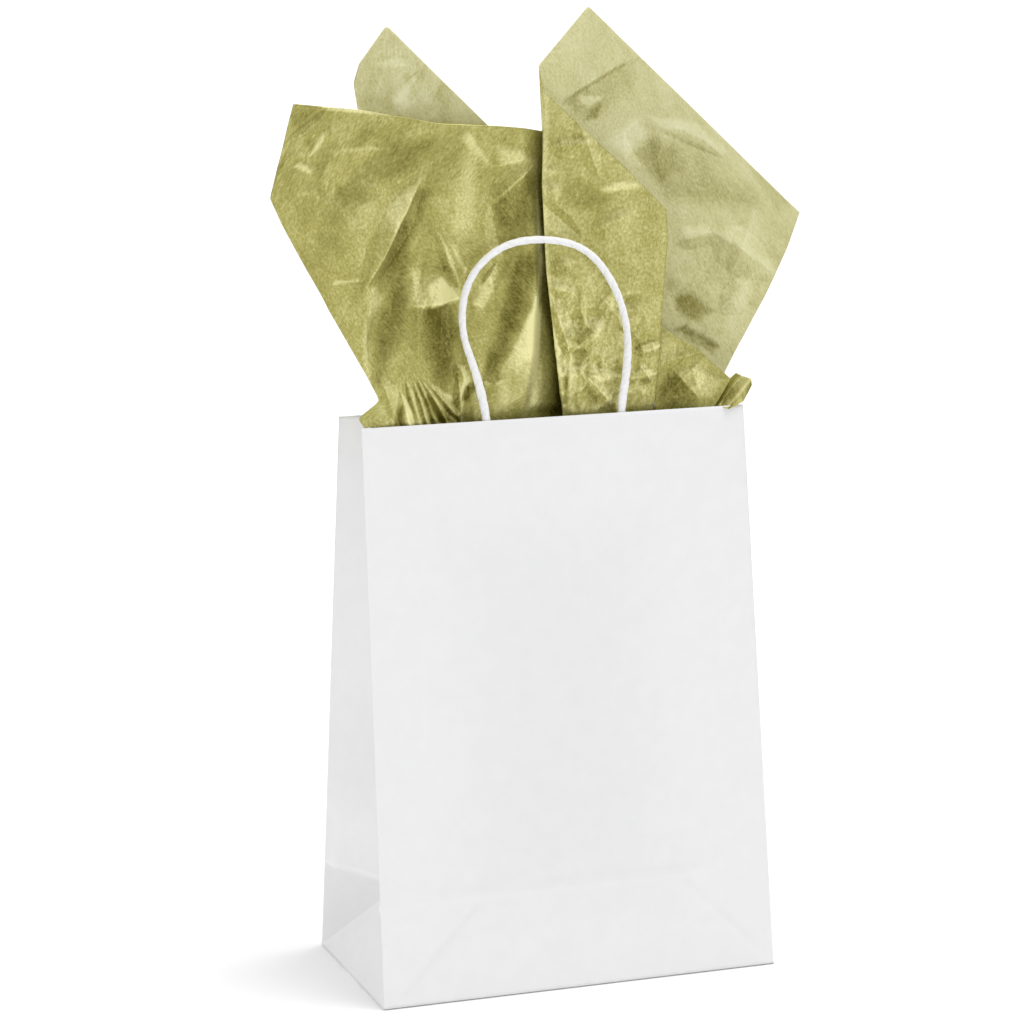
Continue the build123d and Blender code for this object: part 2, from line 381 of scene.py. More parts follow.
def closeCaps(obj):
    # welds the collapsed rings at the two ends to single points, and turns faces outwards
    work = bmesh.new()
    work.from_mesh(obj.data)
    bmesh.ops.remove_doubles(work, verts=work.verts, dist=1e-7)
    bmesh.ops.recalc_face_normals(work, faces=work.faces)
    work.to_mesh(obj.data)
    work.free()


def addHandles():
    # each cord stands for its glued ends, which stay with the bag, and its loop, which turns
    for side, word in ((-1, "front"), (1, "back")):
        cord, path, length = twistedCord(word + "_handle_cord", side)
        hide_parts(word + "_handle_loop", word + "_handle_ends")
        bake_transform(cord)
        print(word, "handle cord", round(length * 1000), "mm")


addHandles()

rimZ = nodeCorners("front_panel")[:, 2].max()
footZ = nodeCorners("front_panel")[:, 2].min()

# slip is how far, in edge radii, the end of the quarter circle moves in along the face
panelLook = {"thickness": 0.2, "edgeRadius": 0.7, "slip": 0.293, "spacing": 1.6, "baseHeight": 46,
             "calmWidth": 12, "waveSize": 42}


def extremePoint(node, score):
    # the node's vertex with the highest score
    points = nodeCorners(node)
    return points[np.argmax(score(points))]


def bagRails():
    # the bag's edges as key points from foot to rim, read off the CAD panels
    rails = {}
    for side, sign in (("left", -1), ("right", 1)):
        base = side + "_gusset_base"
        dent = extremePoint(base, lambda p: p[:, 2])
        for place, depth in (("front", -1), ("back", 1)):
            leaf = side + "_gusset_" + place + "_leaf"
            foot = extremePoint(leaf, lambda p: sign * p[:, 0] + depth * p[:, 1] - 3 * p[:, 2])
            rim = extremePoint(leaf, lambda p: sign * p[:, 0] + depth * p[:, 1] + 90 * p[:, 2])
            share = (panelLook["baseHeight"] * mm - footZ) / (rimZ - footZ)
            rails[side, place] = np.array([foot, foot + (rim - foot) * share, rim])
            rails[side, place + "Crease"] = np.array([foot, dent, [0, 0, rimZ]])
        fold = extremePoint(side + "_gusset_front_leaf", lambda p: -sign * p[:, 0] + 90 * p[:, 2])
        for place in ("front", "back"):
            rails[side, place + "Crease"][2] = [fold[0], 0, rimZ]
    return rails


rails = bagRails()


def creaseField(points, creases):
    # each crease is a soft valley: depth times a bell of the distance from its line,
    # fading at both ends of the line
    total = np.zeros(points.shape[:2])
    for start, end, width, depth in creases:
        start = np.array(start, float) * mm
        run = np.array(end, float) * mm - start
        length = np.linalg.norm(run)
        way = run / length
        offset = points - start
        along = offset @ way / length
        across = np.linalg.norm(offset - (offset @ way)[..., None] * way, axis=2) / (width * mm)
        fade = smoothStep(along, -0.02, 0.12) * (1 - smoothStep(along, 0.85, 1.05))
        total += depth * mm * np.exp(-across ** 2) * fade
    return total


def paperWaves(points, seed, height, size):
    # slow waves of a sheet that isn't quite flat: a few sines in random directions
    rng = np.random.default_rng(seed)
    total = np.zeros(points.shape[:2])
    for _ in range(7):
        way = rng.normal(size=3)
        way /= np.linalg.norm(way)
        total += np.sin(points @ way / (size * mm) * rng.uniform(0.6, 1.6) + rng.uniform(0, 6.3))
    return total * height * mm / 3


facetLook = {"crisp": 1.4, "push": 1.3, "strength": 1.25}


def facetField(a, b, facets):
    # creased facets of painted light and shade: each is a convex polygon of (x, height) corners
    # with a tone; its weight grows inward from every edge, within a millimetre at the first `crisp`
    # edges and over `soft` mm at the others, and the smallest of these counts
    total = np.zeros_like(a)
    for tone, crisp, soft, corners in facets:
        middle = np.mean(corners, axis=0)
        weight = np.ones_like(a)
        for k, start in enumerate(corners):
            end = corners[(k + 1) % len(corners)]
            runX, runZ = end[0] - start[0], end[1] - start[1]
            length = math.hypot(runX, runZ)
            side = np.sign(runX * (middle[1] - start[1]) - runZ * (middle[0] - start[0]))
            distance = side * (runX * (b - start[1]) - runZ * (a - start[0])) / length
            weight = np.minimum(weight, distance / (facetLook["crisp"] if k < crisp else soft))
        total += facetLook["strength"] * tone * smoothStep(weight, 0, 1)
    return total


def ruledPanel(name, node, railA, railB, outward, roundA, roundB, creases=(), waves=0.25, bulge=0.0,
               tones=()):
    # straight lines from railA to railB at each height, columns crowding to the edges;
    # within the edge radius the surface turns in along a quarter circle, and in between it
    # carries the bulge, the slow waves and the creases along its normal; painted light and shade
    # are given as facets over the panel's long direction and height
    width = np.linalg.norm(railA - railB, axis=1).max()
    height = np.linalg.norm(np.diff(railA, axis=0), axis=1)
    steps = [max(8, int(h / (panelLook["spacing"] * mm))) for h in height]
    lineA = roundedLine(railA, steps, 1)
    lineB = roundedLine(railB, steps, 1)
    cols = max(24, int(width / (panelLook["spacing"] * mm)) + 12)
    u = 0.5 - 0.5 * np.cos(np.linspace(0, math.pi, cols))
    span = np.linalg.norm(lineB - lineA, axis=1)[:, None]
    radius = panelLook["edgeRadius"] * mm
    fromA = u[None, :] * span
    fromB = (1 - u)[None, :] * span
    slip = panelLook["slip"] * radius
    fromA = fromA + (slip * (1 - u) if roundA else 0) - (slip * u if roundB else 0)
    share = np.clip(fromA / np.maximum(span, 1e-9), 0, 1)
    points = lineA[:, None, :] * (1 - share[..., None]) + lineB[:, None, :] * share[..., None]
    normal = gridNormals(points)
    if np.dot(normal.mean(axis=(0, 1)), outward) < 0:
        normal = -normal
    inward = np.zeros(points.shape[:2])
    for rounded, distance in ((roundA, fromA), (roundB, fromB + (slip if roundB else 0) * u)):
        if rounded:
            near = np.clip(radius - distance, 0, radius)
            inward += radius - np.sqrt(radius ** 2 - near ** 2)
    v = np.linspace(0, 1, len(lineA))[:, None]
    # the relief dies away towards the edges and the foot, and by half towards the rim
    calm = smoothStep(np.minimum(fromA, fromB), 0, panelLook["calmWidth"] * mm)
    calm = calm * smoothStep(v, 0, 0.06) * (1 - smoothStep(v, 0.97, 1.0) * 0.5)
    relief = calm * (bulge * mm * np.sin(math.pi * u)[None, :] * np.sin(math.pi * np.clip(v, 0, 1))
                     + paperWaves(points, len(name) * 7 + 1, waves, panelLook["waveSize"]))
    relief = relief - calm * creaseField(points, creases) - inward
    points = points + normal * relief[..., None]
    obj = gridMesh(name, points, outward)
    side = 0 if abs(outward[1]) > abs(outward[0]) else 1
    # painted light and shade on the paper, one value per point
    pointTone(obj, "paintedPaperShade", facetField(points[..., side] / mm, points[..., 2] / mm, tones))
    thicken(obj, panelLook["thickness"] * mm)
    obj.data.materials.append(paper)
    standFor(obj, "bag", node)


# painted light and shade on the paper, as facets of (x, height), and on each gusset leaf as (tone,
# crisp edges, softness, reach towards the face, reach past the middle, first height, second height):
# a painted highlight along the crease, painted light above it, painted shade below, and painted light near
# the rim
frontPaintedShading = [
    # painted shade over the face, along the diagonal crease and along the level crease
    (-0.03, 0, 60, [(-80, 20), (70, 20), (70, 250), (-80, 250)]),
    (-0.025, 1, 6, [(-96, 3), (-52, 48), (-44, 48), (-88, 3)]),
    (-0.02, 1, 2.5, [(-84, 52), (60, 52), (60, 49), (-84, 49)]),
]
leafPaintedShading = [(0.05, 1, 1.2, 52, 5, 44.6, 47.6), (0.035, 1, 26, 60, 12, 45.5, 92),
             (-0.03, 1, 18, 60, 12, 45, 4), (0.07, 0, 90, 60, 30, 110, 420)]
# a painted highlight along the diagonal crease of each gusset's base
basePaintedShading = [(0.02, 1, 1.5, [(56, -1), (-2, 45.5), (-4, 43), (52, -2)])]


def addLeaf(side, sign, place, depth):
    # one half of a gusset: the crease where the flat bag's bottom folds up runs level across
    # it, a swelling lies along the crease, and the painted light and shade are mirrored by depth
    crease = ((sign * 103, depth * 52, 46.2), (sign * 74, -depth * 5, 45.6), 1.9, -1.0)
    bulge = ((sign * 103, depth * 52, 48), (sign * 74, -depth * 5, 48), 14, -1.6)
    tones = [(tone, crisp, soft, [(depth * wide, low), (-depth * past, low), (-depth * past, high),
                                  (depth * wide, high)])
             for tone, crisp, soft, wide, past, low, high in leafPaintedShading]
    ruledPanel(side + place.capitalize() + "Leaf", side + "_gusset_" + place + "_leaf",
               rails[side, place], rails[side, place + "Crease"], (sign, 0.3 * -depth, 0),
               True, False, (crease, bulge), 0.35, tones=tones)


def addBag():
    # the two faces, with the block bottom's pressed creases, and the two gussets
    half = rails["right", "front"][0][0] / mm
    frontCreases = [((-half, -54, 0), (-half + 50, -48, 50), 2.2, -0.6),
                    ((half, -54, 0), (half - 50, -48, 50), 2.0, 0.25),
                    ((-half + 12, -47.5, 52), (half - 22, -47.5, 52), 2.0, 0.4)]
    backCreases = [((x0, -y0, z0), (x1, -y1, z1), width, depth)
                   for (x0, y0, z0), (x1, y1, z1), width, depth in frontCreases]
    ruledPanel("frontPanel", "front_panel", rails["left", "front"], rails["right", "front"],
               (0, -1, 0), True, True, frontCreases, 0.22, 0.9, frontPaintedShading)
    ruledPanel("backPanel", "back_panel", rails["left", "back"], rails["right", "back"],
               (0, 1, 0), True, True, backCreases, 0.3, 1.2)
    for side, sign in (("left", -1), ("right", 1)):
        for place, depth in (("front", -1), ("back", 1)):
            addLeaf(side, sign, place, depth)
        ruledPanel(side + "GussetBase", side + "_gusset_base",
                   rails[side, "frontCrease"][:2], rails[side, "backCrease"][:2], (sign, 0, 0),
                   False, False, (), 0.3, tones=basePaintedShading)
    print("bag panels folded")


addBag()

patch = {"width": 110, "height": 50, "drop": 6, "cordBulge": 9, "bellPower": 2.6, "plyGap": 0.62,
         "crinkle": 0.06, "thickness": 0.18}


def addPatches():
    # the inner ply of each handle patch, moulded over the two cord ends: its height above the
    # outer ply is a bell across each cord, fading out below the cord's end
    for side, word in ((-1, "front"), (1, "back")):
        x = np.linspace(-patch["width"] / 2, patch["width"] / 2, 140)
        drop = np.linspace(patch["drop"], patch["drop"] + patch["height"], 70)
        across, down = np.meshgrid(x, drop)
        power = patch["bellPower"]
        bell = sum(np.exp(-(np.abs(across - c) / (patch["cordBulge"] / power)) ** power)
                   for c in (-handle["pitch"] / 2, handle["pitch"] / 2))
        fade = 1 - smoothStep(down, handle["endLength"] - 2, handle["endLength"] + 5)
        crinkle = patch["crinkle"] * np.sin(across * 0.9 + down * 0.35) * np.sin(down * 0.5 + 2) * (1 - bell)
        off = patch["plyGap"] + (handle["diameter"] + 0.1) * np.minimum(bell, 1) * fade + crinkle
        slope = face["lean"] / face["length"]
        rise = face["height"] / face["length"]
        y = -face["halfMouth"] + off * rise - down * slope
        z = rimZ / mm - off * slope - down * rise
        points = np.stack([across, -side * y, z], axis=2) * mm
        obj = gridMesh(word + "PatchInner", points, (0, -side, 0))
        thicken(obj, patch["thickness"] * mm)
        obj.data.materials.append(paper)
        standFor(obj, "bag", word + "_patch_inner_ply")


addPatches()
for node in ("bottom_outer_flap", "bottom_inner_flap", "bottom_left_tuck", "bottom_right_tuck",
             "side_seam_lap", "front_patch_outer_ply", "back_patch_outer_ply"):
    for slot in frame["nodes"][node].material_slots:
        slot.material = paper
print("flaps and patches done")

tissueLook = {"spacing": 0.85, "hiddenSpacing": 4.0, "thickness": 0.08, "lattice": 97}
# painted light and shade on the tissue: the way in (x, height) towards the light, in which a tilted fold is
# painted lighter, gain and limit for that, and for the painted highlight on a ridge and shade in a crease,
# over a step in mm
lean = {"paintedLightFrom": (0.84, 0.54), "gain": 0.62, "limit": 0.34, "paintedRidgeLight": 0.5, "ridgeLimit": 0.22,
        "step": 0.6}


def tentFolds(a, b, folds, rounded=False):
    # sum of folds over sheet coordinates a, b in mm: each runs from one point to another and
    # falls to nothing over its left and right widths, as a crisp tent or, if rounded, as a
    # cosine; widths and height shrink to points at both tips; a negative height is a valley
    total = np.zeros_like(a)
    for x0, z0, x1, z1, left, right, height in folds:
        length = math.hypot(x1 - x0, z1 - z0)
        wayX, wayZ = (x1 - x0) / length, (z1 - z0) / length
        along = ((a - x0) * wayX + (b - z0) * wayZ) / length
        aside = -(a - x0) * wayZ + (b - z0) * wayX
        taper = np.clip(np.minimum((along + 0.06) * 3.2, (1.06 - along) * 2.4), 0, 1)
        width = np.where(aside > 0, left, right) * (0.25 + 0.75 * taper) + 1e-6
        level = np.clip(1 - np.abs(aside) / width, 0, 1)
        if rounded:
            level = level * level * (3 - 2 * level)
        total += height * taper * level
    return total


def crumple(a, b, size, seed):
    # flat triangular facets: random heights at the corners of a lattice that slow sines have
    # warped, joined by planes; size is the facet's width and length in mm, the height about 1
    rng = np.random.default_rng(seed)
    n = tissueLook["lattice"]
    heights = rng.uniform(-1, 1, (n, n))
    phase = rng.uniform(0, 6.3, 6)
    u = a / size[0]
    v = b / size[1]
    u, v = (u + 0.42 * np.sin(v * 1.7 + phase[0]) + 0.3 * np.sin(u * 2.3 + v * 0.9 + phase[1]),
            v + 0.42 * np.sin(u * 1.9 + phase[2]) + 0.3 * np.sin(v * 2.1 - u * 1.1 + phase[3]))
    i, j = np.floor(u).astype(int), np.floor(v).astype(int)
    fu, fv = u - i, v - j
    h00, h10, h01, h11 = (heights[(i + di) % n, (j + dj) % n]
                          for di, dj in ((0, 0), (1, 0), (0, 1), (1, 1)))
    lower = h00 + fu * (h10 - h00) + fv * (h11 - h10)
    upper = h00 + fv * (h01 - h00) + fu * (h11 - h01)
    return np.where(fu > fv, lower, upper)


def patchOf(a, b, x, z, sizeX, sizeZ):
    # 1 around a place and 0 away from it, as a soft-edged ellipse
    distance = np.hypot((a - x) / sizeX, (b - z) / sizeZ)
    return 1 - smoothStep(distance, 0.6, 1.2)


def tissueBase(keys, softness, spacing):
    # keys is rails x heights x (x, y, height above the rim): straight between neighbours both
    # ways, with the corners rounded; rows are further apart where the sheet is inside the bag.
    # Gives the grid and the column at which each rail lies
    keys = np.array(keys, float)
    runsAlong = np.linalg.norm(np.diff(keys, axis=1), axis=2).mean(axis=0)
    runsAcross = np.linalg.norm(np.diff(keys, axis=0), axis=2).max(axis=1)
    inside = keys[:, :, 2].mean(axis=0) < -5
    stepsAlong = [max(3, int(r / (tissueLook["hiddenSpacing"] if hidden else spacing)))
                  for r, hidden in zip(runsAlong, inside)]
    stepsAcross = [max(3, int(r / spacing)) for r in runsAcross]
    along = roundedLine(keys.transpose(1, 0, 2), stepsAlong, softness)
    grid = roundedLine(along.transpose(1, 0, 2), stepsAcross, softness)
    return grid.transpose(1, 0, 2), np.cumsum([0] + stepsAcross)


def sheetCoordinates(grid):
    # arc length across and along the base surface, as flat sheet coordinates
    across = np.linalg.norm(np.diff(grid, axis=1), axis=2)
    along = np.linalg.norm(np.diff(grid, axis=0), axis=2)
    a = np.concatenate([np.zeros((grid.shape[0], 1)), np.cumsum(across, axis=1)], axis=1)
    b = np.concatenate([np.zeros((1, grid.shape[1])), np.cumsum(along, axis=0)], axis=0)
    return a, b


def foldTone(height, grid):
    # painted light and shade: how far the relief tilts the sheet to the upper right, towards the light,
    # which is minus its slope that way, plus how sharply it bends: painted highlight on a ridge, painted
    # shade in a crease
    step = lean["step"]
    here = height(grid)
    right, left = (height(grid + np.array([move, 0, 0])) for move in (step, -step))
    above, below = (height(grid + np.array([0, 0, move])) for move in (step, -step))
    tilt = -(lean["paintedLightFrom"][0] * (right - left) + lean["paintedLightFrom"][1] * (above - below)) / (2 * step)
    bend = (4 * here - right - left - above - below) / step ** 2
    return (np.clip(tilt * lean["gain"], -lean["limit"], lean["limit"])
            + np.clip(bend * lean["paintedRidgeLight"] * step, -lean["ridgeLimit"], lean["ridgeLimit"]))


def addTissue(name, node, body, keys, outward, faceRails, softness, relief, tones, finer=1.0):
    # the base surface moved along its normal by the relief and a little by the facets of painted light and
    # shade;
    # faceRails are the two rails between which the gold side looks outward; the sheet's area is printed
    grid, cols = tissueBase(keys, softness, tissueLook["spacing"] / finer)
    a, b = sheetCoordinates(grid)
    face = slice(cols[faceRails[0]], cols[faceRails[1]])
    sign = np.sign(np.dot(gridNormals(grid)[:, face].mean(axis=(0, 1)), outward))
    # painted light and shade: the sheet's own, its facets' and its folds', summed into one attribute
    facets, shade = tones(grid, cols)
    shade = shade + facets + foldTone(lambda place: relief(place, cols), grid)
    lift = relief(grid, cols) + facetLook["push"] * facets
    grid = grid + gridNormals(grid) * (sign * lift)[..., None]
    points = grid * mm
    points[..., 2] += rimZ
    obj = gridMesh(name, points, None, np.stack([a, b], axis=2) * mm)
    if sign < 0:
        obj.data.flip_normals()
    pointTone(obj, "foldTone", shade)
    thicken(obj, tissueLook["thickness"] * mm, 1)
    obj.data.materials.append(goldSide)
    obj.data.materials.append(paleSide)
    areas = np.empty(len(obj.data.polygons))
    obj.data.polygons.foreach_get("area", areas)
    standFor(obj, body, node)
    print(name, "area", round(areas.sum(), 4), "quads", len(areas))


nearLeft = {"keys": [
    [(-36, -6, -112), (-58, -10, -36), (-94.5, -17.5, -2), (-99, -17.2, 4.5), (-88.5, -18, 12.5),
     (-93, -18.5, 22), (-112, -23, 54), (-138, -30, 100), (-143.5, -31, 112), (-130, -26, 154.5)],
    [(-28, -9, -112), (-46, -13, -36), (-70, -15.5, -2), (-70, -15.6, 4), (-70, -15.8, 11),
     (-71, -16, 21), (-80, -18, 54), (-92, -21, 96), (-95, -20, 118), (-95, -18, 150)],
    [(-20, -6, -112), (-30, -9, -36), (-45, -9.5, -2), (-45.5, -9.4, 4), (-46, -9.2, 11),
     (-47, -9, 21), (-52, -9, 54), (-54, -10, 92), (-55, -11, 114), (-55, -11, 142)],
    [(-14, -8, -112), (-15, -8, -36), (-16, -9, -2), (-16.5, -9, 4), (-17, -9, 11),
     (-18, -9.5, 21), (-20, -9.5, 54), (-22, -8, 90), (-23, -7, 112), (-23, -8, 139.5)],
    # its right side turns in behind the right sheet's fold
    [(-8, -4, -112), (-6, -4, -36), (2, -3, -2), (1.5, -3.2, 4), (0.5, -3.6, 11),
     (-1, -4.4, 21), (-7, -6.6, 54), (-11, -6.8, 90), (-12, -6, 112), (-11, -6, 138)],
    [(-2, 3, -112), (3, 3, -36), (14, 1.8, -2), (14, 1.8, 4), (13, 1.8, 11), (12.5, 1.8, 21),
     (9, 1.8, 54), (6, 1.6, 90), (5, 1.4, 112), (4.5, 1, 135)],
], "rounded": [
    (-92, 22, -76, 96, 10, 13, -3.6),     # the long valley up the middle
    (-13, -2, -5, 118, 15, 9, 3.0),       # the tongue beside the right sheet
    (-58, 62, -40, 140, 22, 14, 2.2),     # the broad crown between them
    (-120, 60, -84, 128, 18, 16, 1.8),
    (-112, 110, -72, 142, 8, 10, -1.2),
    (-34, 18, -14, 78, 7, 8, -1.2),
], "crisp": [
    (-95, 68, -65, 117, 9, 8, 2.6),       # the ridge with a light facet left of it
    (-78, 56, -44, 58, 14, 26, 3.0),      # the shelf beside the handle
    (-23, 78, -28, 103, 6, 9, -1.4),
    (-28, 103, -5, 121, 8, 9, 1.5),
    (-133, 139, -112, 153, 9, 3, -1.0),   # the turned corner, top left
    (-72, -6, -77, 15, 4, 3, 1.7),        # the fan of gathers at the rim
    (-66, -8, -74, 20, 2.4, 3, 1.5),
    (-62, -8, -70, 19, 2, 2.6, 1.4),
    (-57, -6, -68, 21, 2, 2.6, 1.5),
    (-51, -4, -65, 19, 2.4, 2.4, 1.6),
    (-46, 0, -61, 17, 2, 3, 1.5),
    (-47, 27, -40, 15, 3, 4, 1.4),
    (-45, -4, -46, 22, 3, 2.4, 1.5),
    (-38, -6, -40, 14, 4, 5, 1.2),
    (-80, 4, -88, 24, 4, 6, 1.0),
    (-36, 16, -23, 17, 2, 5, 1.1),
    (-57, 90, -45, 64, 2.4, 4, 1.0),
    (-33, 64, -26, 74, 2, 4, 0.9),
], "facets": [
    # painted light and shade, facet by facet: the light spear, its hot end, and the dark band on its right
    (0.13, 1, 5, [(-96, 66), (-65, 116), (-80, 113), (-90, 100)]),
    (0.15, 1, 4, [(-81, 90), (-64, 118), (-76, 113), (-88, 103)]),
    (-0.24, 1, 7, [(-96, 66), (-65, 117), (-57, 112), (-66, 92), (-84, 58)]),
    (-0.14, 1, 7, [(-94, 26), (-95, 56), (-84, 62), (-76, 52), (-81, 32)]),
    (0.08, 1, 5, [(-112, 107), (-87, 108), (-91, 95), (-105, 92)]),
    (-0.1, 1, 5, [(-113, 108), (-87, 108), (-84, 114), (-111, 119)]),
    (-0.17, 0, 8, [(-95, 121), (-80, 138), (-50, 140), (-56, 128), (-73, 116), (-87, 112)]),
    (-0.06, 0, 6, [(-105, 132), (-99, 147), (-70, 143), (-80, 131)]),
    # the crown, and the creased top right
    (0.1, 0, 10, [(-51, 126), (-42, 117), (-30, 112), (-29, 97), (-38, 83), (-60, 92), (-63, 108)]),
    (0.16, 1, 4, [(-41, 140), (-26, 120), (-31, 119), (-49, 136)]),
    (0.24, 1, 5, [(-26, 119.5), (-3, 122), (-10, 129), (-27, 133)]),
    (-0.16, 2, 10, [(-22, 85), (-28, 102), (-5, 121), (6, 116), (6, 88)]),
    (0.3, 0, 5, [(-12, 0), (10, 0), (8, 30), (0, 56), (-8, 52)]),
    # the shelf and the painted shade in the hollow under it
    (0.12, 1, 4, [(-76, 57), (-63, 54), (-60, 73), (-71, 77), (-76, 72)]),
    (0.34, 2, 3, [(-63, 54), (-44, 58), (-55, 71), (-64, 67)]),
    (-0.12, 1, 10, [(-76, 56), (-44, 57), (-42, 35), (-50, 14), (-62, 16), (-72, 38)]),
    (-0.24, 1, 13, [(-72, 54), (-45, 57), (-41, 38), (-50, 20), (-64, 24)]),
    (-0.16, 0, 6, [(-66, 26), (-44, 36), (-47, 18), (-53, 6), (-61, 15)]),
    (-0.13, 2, 3, [(-66, 74), (-55, 71.5), (-43, 66), (-52, 79)]),
    (0.2, 1, 2, [(-42, 68), (-52, 86), (-48, 86), (-40, 72)]),
    # behind the handle's left leg: small light facets, the valley, the tongue, and the painted shadow beside
    # the right sheet's fold
    (0.22, 2, 4, [(-41, 55), (-33, 52), (-26, 64), (-25, 76), (-36, 65)]),
    (-0.13, 0, 6, [(-33, 17), (-25, 17), (-3, 64), (-3, 84), (-25, 79), (-34, 50), (-38, 31)]),
    (-0.14, 0, 5, [(-16, 52), (-3, 68), (2, 84), (-14, 80)]),
    (-0.14, 0, 4, [(-35, 18), (-24, 17), (-22, 32), (-32, 34)]),
    (0.2, 1, 7, [(-28, 16), (-5, 64), (-2, 58), (-3, 31), (-11, 4), (-30, -2)]),
    (0.24, 0, 8, [(-22, 40), (-7, 62), (-2, 55), (-3, 28), (-17, 18), (-26, 25)]),
    (-0.22, 0, 7, [(-13, -6), (-8, 62), (-9, 126), (4, 126), (12, 62), (16, -6)]),
    # crinkles in the top left corner and along the left edge
    (0.3, 1, 2, [(-124, 130), (-116, 142), (-113, 141), (-116, 134), (-122, 129)]),
    (0.18, 1, 2, [(-114, 133), (-104, 133), (-110, 128)]),
    (0.26, 1, 2, [(-122, 121), (-133, 126), (-128, 129), (-120, 124)]),
    (0.14, 1, 1, [(-104, 134), (-83, 132.5), (-84, 130.5), (-103, 131)]),
    (0.17, 1, 1, [(-100, 118.5), (-91, 123), (-97, 123)]),
    (0.24, 1, 1.5, [(-115, 69), (-97, 70), (-96, 72), (-111, 72.5)]),
    (0.14, 1, 2, [(-131, 113), (-121, 111), (-125, 116)]),
    (0.1, 1, 4, [(-97, 68), (-85, 68), (-93, 58), (-101, 55)]),
    (0.12, 1, 2, [(-106, 50), (-98, 53), (-101, 56)]),
    (-0.14, 1, 4, [(-126, 143), (-117, 152), (-131, 156), (-135, 142)]),
    (0.4, 1, 1, [(-117, 151), (-72, 145), (-88, 150), (-110, 156)]),
    # gathers at the rim
    (0.08, 0, 4, [(-94, 24), (-90, -2), (-70, -2), (-70, 13), (-78, 22)]),
    (0.32, 1, 2, [(-66, -3), (-75, 14), (-77, 4), (-75, -3)]),
    (-0.22, 1, 3, [(-76, -2), (-76, 13), (-81, 8), (-82, -2)]),
    (-0.3, 1, 2, [(-48, -2), (-64, 16), (-66, 10), (-58, -2)]),
    (0.28, 1, 1.5, [(-48, 7), (-62, 17.5), (-61, 20), (-49, 12)]),
    (0.5, 1, 2, [(-46, 9), (-39.5, 18), (-45, 27)]),
    (-0.3, 1, 2, [(-35, 18), (-41, 8), (-46, 8), (-41, 18)]),
    (-0.3, 1, 1, [(-35, 19), (-24, 18), (-29, 15)]),
]}


def leftFront():
    # the near left sheet; its relief stays off the rim's left corner
    def relief(grid, cols):
        x, h = grid[..., 0], grid[..., 2]
        lift = tentFolds(x, h, nearLeft["rounded"], True) + tentFolds(x, h, nearLeft["crisp"])
        lift += 0.5 * crumple(x, h, (9, 12), 3) * patchOf(x, h, -60, 66, 26, 18)
        lift += 0.5 * crumple(x, h, (7, 8), 4) * patchOf(x, h, -120, 126, 22, 20)
        lift += 0.45 * crumple(x, h, (5, 9), 8) * patchOf(x, h, -34, 62, 12, 16)
        lift += 0.5 * crumple(x, h, (5, 14), 5) * patchOf(x, h, -60, 2, 34, 18)
        lift += 0.3 * crumple(x, h, (15, 19), 6) + 0.11 * crumple(x, h, (6, 8), 7)
        nearRim = 1 - smoothStep(h, 2, 16)
        return lift * (1 - nearRim * (1 - smoothStep(x, -94, -76)))

    def tones(grid, cols):
        x, h = grid[..., 0], grid[..., 2]
        # painted facets, and painted shade on the right edge where the sheet turns in behind the right
        # sheet's fold
        return facetField(x, h, nearLeft["facets"]), -0.25 * smoothStep(x, 0, 8)

    addTissue("tissueLeftFront", "tissue_left_front", "left_front_sheet", nearLeft["keys"],
              (0, -1, 0), (0, 3), 3, relief, tones)


farLeft = {"keys": [
    [(-34, 9, -112), (-42, 11, -36), (-54, 12, -1), (-66, 15, 50), (-78, 16, 110),
     (-83, 17, 152), (-84, 18, 160), (-84, 18, 166)],
    [(-38, 6, -112), (-46, 7, -36), (-58, 7, -1), (-72, 9, 50), (-84, 9, 110), (-90, 10, 152),
     (-91, 11, 160), (-88, 12, 168)],
    [(-28, 10, -112), (-34, 10, -36), (-42, 9, -1), (-56, 12, 50), (-66, 13, 110), (-74, 13, 156),
     (-77, 14, 170), (-72, 16, 187)],
    [(-8, 5, -112), (-8, 6, -36), (-8, 6, -1), (-14, 6, 50), (-18, 6, 100), (-22, 6, 122),
     (-24, 6, 130), (-25, 6, 139)],
], "rounded": [
    (-76, 60, -68, 178, 9, 12, -1.2),
    (-52, 60, -46, 168, 9, 9, 1.2),
    (-34, 20, -30, 130, 8, 9, -1.0),
], "crisp": [
    (-82, 147, -71, 176, 5, 6, -0.8),
    (-75, 152, -57, 166, 4, 5, 0.7),
    (-67, 148, -53, 169, 4, 4, 0.8),
    (-55, 143, -47, 158, 4, 4, 0.7),
    (-80, 171, -62, 172, 3, 4, 0.6),
], "facets": [
    (-0.24, 0, 5, [(-98, 164), (-90, 128), (-66, 128), (-86, 140)]),
    (0.1, 0, 6, [(-74, 150), (-60, 172), (-48, 150), (-60, 136)]),
    (0.12, 1, 2, [(-72, 150), (-60, 164), (-56, 163), (-66, 148)]),
    (0.1, 1, 2, [(-78, 168), (-64, 176), (-68, 166)]),
    (-0.1, 1, 4, [(-68, 164), (-66, 170), (-48, 140), (-52, 134)]),
]}


def leftBack():
    # the far left sheet, of which the pale side is in view
    def relief(grid, cols):
        x, h = grid[..., 0], grid[..., 2]
        lift = tentFolds(x, h, farLeft["rounded"], True) + tentFolds(x, h, farLeft["crisp"])
        return lift + 0.34 * crumple(x, h, (11, 15), 14) + 0.1 * crumple(x, h, (5, 6), 15)

    def tones(grid, cols):
        # the painted light and shade are for the pale side, the one in view, so their sign is turned; the
        # whole sheet is painted lighter
        x, h = grid[..., 0], grid[..., 2]
        return -facetField(x, h, farLeft["facets"]), -0.4

    addTissue("tissueLeftBack", "tissue_left_back", "left_back_sheet", farLeft["keys"],
              (0, 1, 0), (1, 3), 4, relief, tones)


